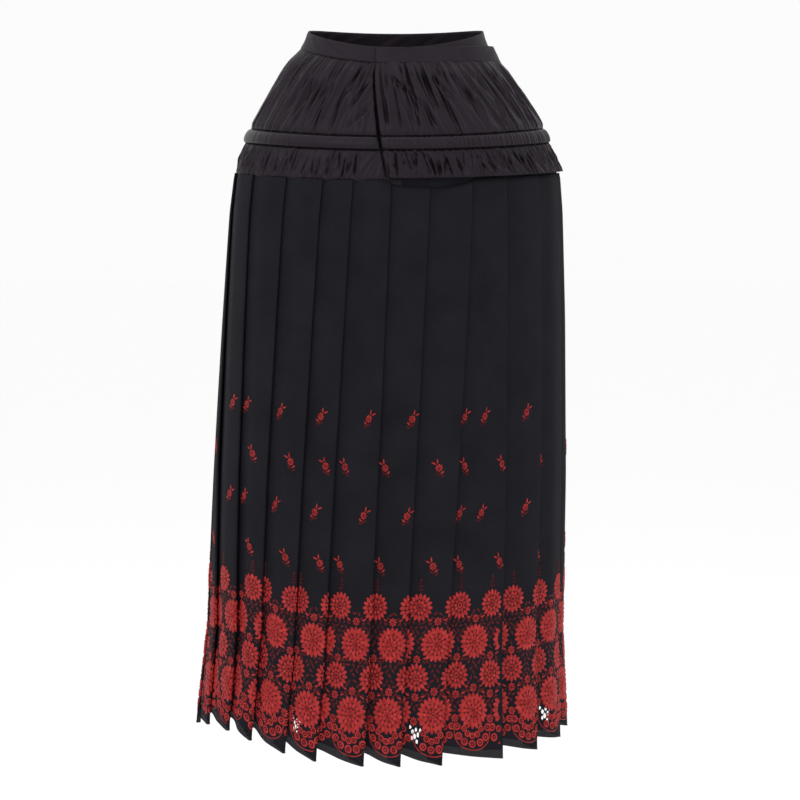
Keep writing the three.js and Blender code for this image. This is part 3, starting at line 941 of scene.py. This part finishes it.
# Rows of sprigs, and for every second row the sprigs in front: pleat, and share of its panel
SPRIG_ROWS = (-424, -480, -534, -592)
SPRIG_PLACES = (
    ((1, 0.75), (2, 0.2), (3, 0.3), (4, 0.5), (5, 0.75), (6, 0.85), (8, 0.1), (8, 0.5), (9, 0.55), (11, 0.1)),
    ((0, 0.85), (2, 0.55), (3, 0.7), (4, 0.75), (5, 0.25), (6, 0.2), (7, 0.55), (8, 0.15), (8, 0.9),
     (10, 0.1), (11, 0.95)),
)
SPRIG_BACK = {"from": 12, "share": 0.3, "swing": 0.45}  # on the back they take turns from pleat to pleat
# The net of small dark leaves: spacing, first and last row, length and width, turn, and their spread
NET_STEP = (6, 5.4)
NET_FROM = -646.0
NET_TO = -776.0
NET_LEAF = (7.4, 3.2)
NET_SIZES = (0.8, 1.1)
NET_TURN = 0.9
NET_SPREAD = {"place": 0.5, "turn": 0.35}
NET_SEED = 7
# The scalloped edge: arcs of small rings, each with its half width as a share of the repeat, rise and
# radius, then the outline. Roundness makes an arc fuller than a half circle.
SCALLOP_TOP = -777.0
SCALLOP_DROP = 18.0
SCALLOP_RINGS = 7
RING = (0.72, 0.52, 0.9)  # its radius and width as shares, and its height
RING_EYE = (0.6, 0.8)  # its size as a share, and its height
SCALLOP_ARCS = ((0.43, 0, 4.5), (0.27, 8.6, 3.8))
SCALLOP_ROUNDNESS = 0.8
OUTLINE = {"steps": 16, "roundness": 0.7, "top": 2, "drop": 22.5, "width": 1.1}

# Flowers: radius, eye, and rings of petals, each with its distance, length and width as shares of the
# radius, its number and its height
LARGE = (20.5, 0.1, ((0.79, 0.44, 0.27, 20, 0.9), (0.50, 0.38, 0.26, 13, 1.15), (0.26, 0.29, 0.21, 8, 1.3)))
MEDIUM = (16.5, 0.15, ((0.76, 0.50, 0.30, 16, 0.9), (0.40, 0.38, 0.28, 9, 1.15)))
ROUND = (5.4, 0.3, ((0.66, 0.62, 0.50, 8, 0.8),))
SPRIG = (4.9, *ROUND[1:])
FLOWER_SQUEEZE = 0.9  # the stitching draws the flowers in across the cloth
CLEAR = 1.0  # distance of the net from a flower

# Heights of the stitching over the cloth, and how far its edges reach into it
PAD_FOOT = -0.15
LINE_FOOT = -0.1
LINE_HEIGHT = 0.5
LEAF_HEIGHT = 0.7
PETAL_SHADE_PAD = {"size": 1.7, "height": 0.45, "sides": 14}  # deep red pad under a flower's petals: painted shade in the grooves between them
# A pad: how much it narrows to a point, and its crown's length, width and height as shares
PAD_TAPER = 0.25
PAD_CROWN = (0.6, 0.56, 0.85)
EDGE_CLEARANCE = 1.5  # between the stitching and a cut edge of the cloth
MOST_HIDDEN = 0.6


class Stitches:
    """Raised stitched shapes in flat cloth places, laid on the pleats at the end."""

    def __init__(self):
        self.shapes = []

    def add(self, x, y, height, faces, slot):
        self.shapes.append((np.stack([x, y, height], axis=-1), np.asarray(faces), slot))

    def pad(self, x, y, length, width, turn, height, slot=RED, sides=8):
        """A satin-stitched pad, such as a petal or a leaf, crowned and pointed at one end."""
        around = 2 * np.pi * np.arange(sides) / sides
        long, wide, high = PAD_CROWN
        taper = 1 - PAD_TAPER * np.cos(around)
        local_x = np.concatenate([np.cos(around), np.cos(around) * long, [0.0]]) * length / 2
        local_y = np.concatenate([np.sin(around) * taper, np.sin(around) * wide, [0.0]]) * width / 2
        lift = np.concatenate([np.full(sides, PAD_FOOT), np.full(sides, height * high), [height]])
        cos, sin = math.cos(turn), math.sin(turn)
        faces = []
        for i in range(sides):
            j = (i + 1) % sides
            faces += [(i, j, sides + j), (i, sides + j, sides + i), (sides + i, sides + j, 2 * sides)]
        self.add(x + cos * local_x - sin * local_y, y + sin * local_x + cos * local_y, lift, faces, slot)

    def band(self, rows, height, closed, slot=RED):
        """A crowned strip of three rows of places."""
        count = len(rows[0])
        faces = []
        for row in range(2):
            for i in range(count if closed else count - 1):
                a, b = row * count + i, row * count + (i + 1) % count
                c, d = b + count, a + count
                faces += [(a, d, c), (a, c, b)]
        places = np.concatenate(rows)
        lifts = np.repeat((LINE_FOOT, height, LINE_FOOT), count)
        self.add(places[:, 0], places[:, 1], lifts, faces, slot)

    def ring(self, x, y, radius, width, height, sides=12):
        around = -2 * np.pi * np.arange(sides) / sides
        circle = np.stack([np.cos(around), np.sin(around)], axis=1)
        radii = (radius + width / 2, radius, radius - width / 2)
        self.band([circle * r + (x, y) for r in radii], height, True)

    def line(self, places, width, slot=RED):
        places = np.array(places, float)
        along = unit(np.gradient(places, axis=0))
        side = np.stack([-along[:, 1], along[:, 0]], axis=1) * width / 2
        self.band([places + side, places, places - side], LINE_HEIGHT, False, slot)

    def flower(self, x, y, kind):
        """A round flower: a deep red pad of painted shade under its petals, rings of petals and a ringed eye.
        """
        radius, eye, rings = kind
        mark = len(self.shapes)
        # deep red pad under the petals, painted shade in the grooves between them
        shade_pad_size = radius * PETAL_SHADE_PAD["size"]
        self.pad(x, y, shade_pad_size, shade_pad_size, 0.0, PETAL_SHADE_PAD["height"], DEEP, PETAL_SHADE_PAD["sides"])
        for i, (distance, length, width, number, height) in enumerate(rings):
            for petal in range(number):
                turn = 2 * math.pi * (petal + 0.5 * i) / number
                place = (x + radius * distance * math.cos(turn), y + radius * distance * math.sin(turn))
                self.pad(*place, radius * length, radius * width, turn, height)
        self.ring(x, y, radius * eye, radius * eye, rings[-1][-1])
        for points, _, _ in self.shapes[mark:]:
            points[:, 0] = x + (points[:, 0] - x) * FLOWER_SQUEEZE

    def leaves(self, x, y, table, side, sides=8):
        """Leaves to the right of a place, or mirrored to its left."""
        for leaf_x, leaf_y, length, width, turn, slot in table:
            turned = turn if side > 0 else math.pi - turn
            self.pad(x + side * leaf_x, y + leaf_y, length, width, turned, LEAF_HEIGHT, slot, sides)


# Leaves: place, length, width, turn and colour. Those of a sprig are long towards the right.
ROUND_LEAVES = ((9.45, 2, 6.5, 2.6, 0.45, RED), (8.64, -2.6, 6, 2.6, -0.5, DEEP))
SPRIG_LEAVES = (
    (2.2, 7.6, 6.6, 2, 1.45, RED),
    (6.2, 5.2, 6.6, 2, 0.4, RED),
    (-4.2, -5, 5, 2.2, 2.3, RED),
    (-1.4, -7, 5, 2.2, -1.1, DEEP),
    (-4.6, -9, 4.6, 2, 2.2, DEEP),
    (1.8, -6.4, 4.6, 2, 0.8, DEEP),
)
SPRIG_STEM = ((0, -3), (-1.5, -6), (-3, -10.5))
SPRIG_STEM_WIDTH = 0.8
BUD_LEAVES = (
    (1.8, 3.72, 3.6, 1.512, 0.6708, DEEP),
    (1.55, 7.62, 3.1, 1.302, 0.6708, DEEP),
    (1.3, 11.02, 2.6, 1.092, 0.6708, DEEP),
)
BUD = (0, 14.5, 3.6, 2.2, math.pi / 2, DEEP)
BUD_STEM = ((0, -1), (0.5, 5), (-0.3, 10), (0, 14))
BUD_STEM_WIDTH = 0.7


def ring_flower(stitches, x, y, radius):
    ring, width, height = RING
    eye, eye_height = RING_EYE
    stitches.ring(x, y, radius * ring, radius * width, height, sides=10)
    stitches.pad(x, y, radius * eye, radius * eye, 0.0, eye_height, sides=6)


def round_flower(stitches, x, y):
    """A small round flower between two pairs of spread leaves."""
    stitches.flower(x, y, ROUND)
    for side in (-1, 1):
        stitches.leaves(x, y, ROUND_LEAVES, side, 6)


def sprig(stitches, x, y, side):
    """A small sprig: a round flower, two long leaves above it and small leaves on a stem below."""
    stitches.flower(x, y, SPRIG)
    stitches.leaves(x, y, SPRIG_LEAVES, side)
    stitches.line([(x + side * a, y + b) for a, b in SPRIG_STEM], SPRIG_STEM_WIDTH, DEEP)


def bud_stem(stitches, x, y):
    """A short thin stem of small buds over a flower of the first row."""
    stitches.line([(x + a, y + b) for a, b in BUD_STEM], BUD_STEM_WIDTH, DEEP)
    for side in (-1, 1):
        stitches.leaves(x, y, BUD_LEAVES, side)
    stitches.leaves(x, y, (BUD,), 1)


def net(stitches, x, circles, random):
    """Uneven sprays of small dark leaves between the flowers of one repeat."""
    columns = int(REPEAT / NET_STEP[0])
    rows = int((NET_FROM - NET_TO) / NET_STEP[1])
    length, width = NET_LEAF
    for row in range(rows):
        for column in range(columns):
            across = (column + 0.5 * (row % 2)) / columns - 0.5
            px = x + across * REPEAT + random.normal(0, NET_SPREAD["place"])
            py = NET_FROM - row * NET_STEP[1] + random.normal(0, NET_SPREAD["place"])
            if all(math.hypot(px - cx, py - cy) > radius for cx, cy, radius in circles):
                turn = NET_TURN if (row + column) % 2 else -NET_TURN
                turn += random.normal(0, NET_SPREAD["turn"])
                size = random.uniform(*NET_SIZES)
                stitches.pad(px, py, length * size, width, turn, LINE_HEIGHT, DEEP, sides=6)


def border_repeat(stitches, x, random):
    """One repeat of the border: large flowers at x, medium ones half a repeat away."""
    half = x + REPEAT / 2
    circles = []
    for y in MEDIUM_ROWS:
        stitches.flower(half, y, MEDIUM)
        circles += [(half, y, MEDIUM[0]), (half - REPEAT, y, MEDIUM[0])]
    for y in LARGE_ROWS:
        stitches.flower(x, y, LARGE)
        circles.append((x, y, LARGE[0] * FLOWER_SQUEEZE + CLEAR))
    for shift, y in ROUNDS:
        place = x + shift * REPEAT
        round_flower(stitches, place, y)
        circles += [(place, y, ROUND[0] + CLEAR), (place - REPEAT, y, ROUND[0] + CLEAR)]
    net(stitches, x, circles, random)
    bud_stem(stitches, half, MEDIUM_ROWS[0] + MEDIUM[0])
    scallop(stitches, x)


def scallop(stitches, x):
    """The scalloped lower edge: two arcs of small rings with a thin outline under them."""
    for i in range(SCALLOP_RINGS):
        turn = math.pi * i / (SCALLOP_RINGS - 1)
        y = SCALLOP_TOP - math.sin(turn) ** SCALLOP_ROUNDNESS * SCALLOP_DROP
        arcs = SCALLOP_ARCS if 0 < i < SCALLOP_RINGS - 1 else SCALLOP_ARCS[:1]
        for half, rise, radius in arcs:
            ring_flower(stitches, x - math.cos(turn) * REPEAT * half, y + rise, radius)
    outline = []
    for i in range(OUTLINE["steps"] + 1):
        turn = math.pi * i / OUTLINE["steps"]
        drop = OUTLINE["top"] + abs(math.sin(turn)) ** OUTLINE["roundness"] * OUTLINE["drop"]
        outline.append((x - math.cos(turn) * REPEAT / 2, SCALLOP_TOP - drop))
    stitches.line(outline, OUTLINE["width"])


def lay_stitches(name, shapes, pleats, first_u, last_u):
    """Lays the stitched shapes of one stretch of the flat cloth on its folds."""
    points, faces, slots, count = [], [], [], 0
    for shape, shape_faces, slot in shapes:
        u, z, _ = shape.mean(axis=0)
        columns = pleats.at(np.array([u]))
        left, right = shape[:, 0].min() - EDGE_CLEARANCE, shape[:, 0].max() + EDGE_CLEARANCE
        opened = is_open(columns["along"], columns["hidden"], columns["pleat"], z)[0]
        if first_u < left and right < last_u and not opened and columns["hidden"][0] < MOST_HIDDEN:
            points.append(shape)
            faces.extend(tuple(face + count) for face in shape_faces)
            slots.extend([slot] * len(shape_faces))
            count += len(shape)
    flat = np.concatenate(points)
    laid = pleats.lay(flat[:, 0], flat[:, 1], flat[:, 2])
    return make_object(name, laid, faces, [RED_THREAD, DEEP_THREAD_AND_SHADE], flat[:, :2], slots)


def build_embroidery(pleats, spans):
    stitches = Stitches()
    random = np.random.RandomState(NET_SEED)
    for i in range(int(pleats.u[-1] / REPEAT) + 1):
        border_repeat(stitches, PHASE + i * REPEAT, random)
    for row, z in enumerate(SPRIG_ROWS):
        places = list(SPRIG_PLACES[row % 2])
        for pleat in range(SPRIG_BACK["from"], pleats.count):
            places.append((pleat, SPRIG_BACK["share"] + SPRIG_BACK["swing"] * ((pleat + row) % 2)))
        for pleat, share in places:
            sprig(stitches, pleats.panel_place(pleat, share), z, 1 - 2 * (row % 2))
    return {name: lay_stitches(name, stitches.shapes, pleats, *span) for name, span in spans.items()}


# Stage


def add_object(name, data, place, turn):
    obj = bpy.data.objects.new(name, data)
    obj.location = place
    obj.rotation_euler = Euler(turn)
    bpy.context.scene.collection.objects.link(obj)
    return obj


def build_stage():
    scene = bpy.context.scene
    camera_data = bpy.data.cameras.new("camera")
    camera_data.lens = CAMERA_LENS
    camera_data.sensor_width = CAMERA_SENSOR
    camera_data.sensor_fit = "HORIZONTAL"
    scene.camera = add_object("camera", camera_data, CAMERA_PLACE, (math.pi / 2 - CAMERA_PITCH, 0, 0))
    scene.view_settings.view_transform = "Standard"

    pale = Nodes("pale_floor")
    set_inputs(pale.shader, {
        "Base Color": (*FLOOR_COLOUR, 1),
        "Roughness": FLOOR_ROUGHNESS,
        "Emission Color": (1, 1, 1, 1),
        "Emission Strength": FLOOR_GLOW,
    })
    square = np.array(((-1, -1), (1, -1), (1, 1), (-1, 1))) * FLOOR_HALF
    corners = np.c_[square, np.full(4, FLOOR_Z / MM)]
    floor = make_object("floor", corners, [(0, 1, 2, 3)], [pale.material], square)

    world = bpy.data.worlds.new("studio")
    world.use_nodes = True
    set_inputs(world.node_tree.nodes["Background"], {"Color": (1, 1, 1, 1), "Strength": STUDIO_LIGHT})
    scene.world = world

    for name, place, size, power in LIGHTS:
        light_data = bpy.data.lights.new(name, "AREA")
        light_data.size = size
        light_data.energy = power
        x, y, z = np.array(LIGHT_AIM) - place
        tilt = math.acos(-z / math.hypot(x, y, z))
        add_object(name, light_data, place, (tilt, 0, math.atan2(x, -y) + math.pi))


def main():
    build_stage()
    yoke = build_yoke()
    for node, (obj, _, size) in yoke.items():
        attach(obj, BODY)
        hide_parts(node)

    pleats = Pleats()
    front_start = SEAM_STEP
    wrap_end = pleats.starts[WRAP_FOLD] + pleats.outer_fold(WRAP_FOLD)
    back_start = pleats.starts[WRAP_FOLD + 1]
    back_end = pleats.starts[pleats.count] + SEAM_STEP
    front = pleated_cloth("skirt_front_cloth", pleats, front_start, wrap_end + 1)
    back = pleated_cloth("skirt_back_cloth", pleats, back_start, back_end + 1)
    spans = {
        "embroidery_front": (pleats.u[front_start], pleats.u[wrap_end]),
        "embroidery_back": (pleats.u[back_start], pleats.u[back_end]),
    }
    embroidery = build_embroidery(pleats, spans)
    for obj, node, span in zip((front, back), ("skirt_front", "skirt_back"), spans.values()):
        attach(obj, BODY)
        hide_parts(node)
    for obj in embroidery.values():
        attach(obj, BODY)
    stitching = build_stitching(yoke)
    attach(stitching, BODY)


main()
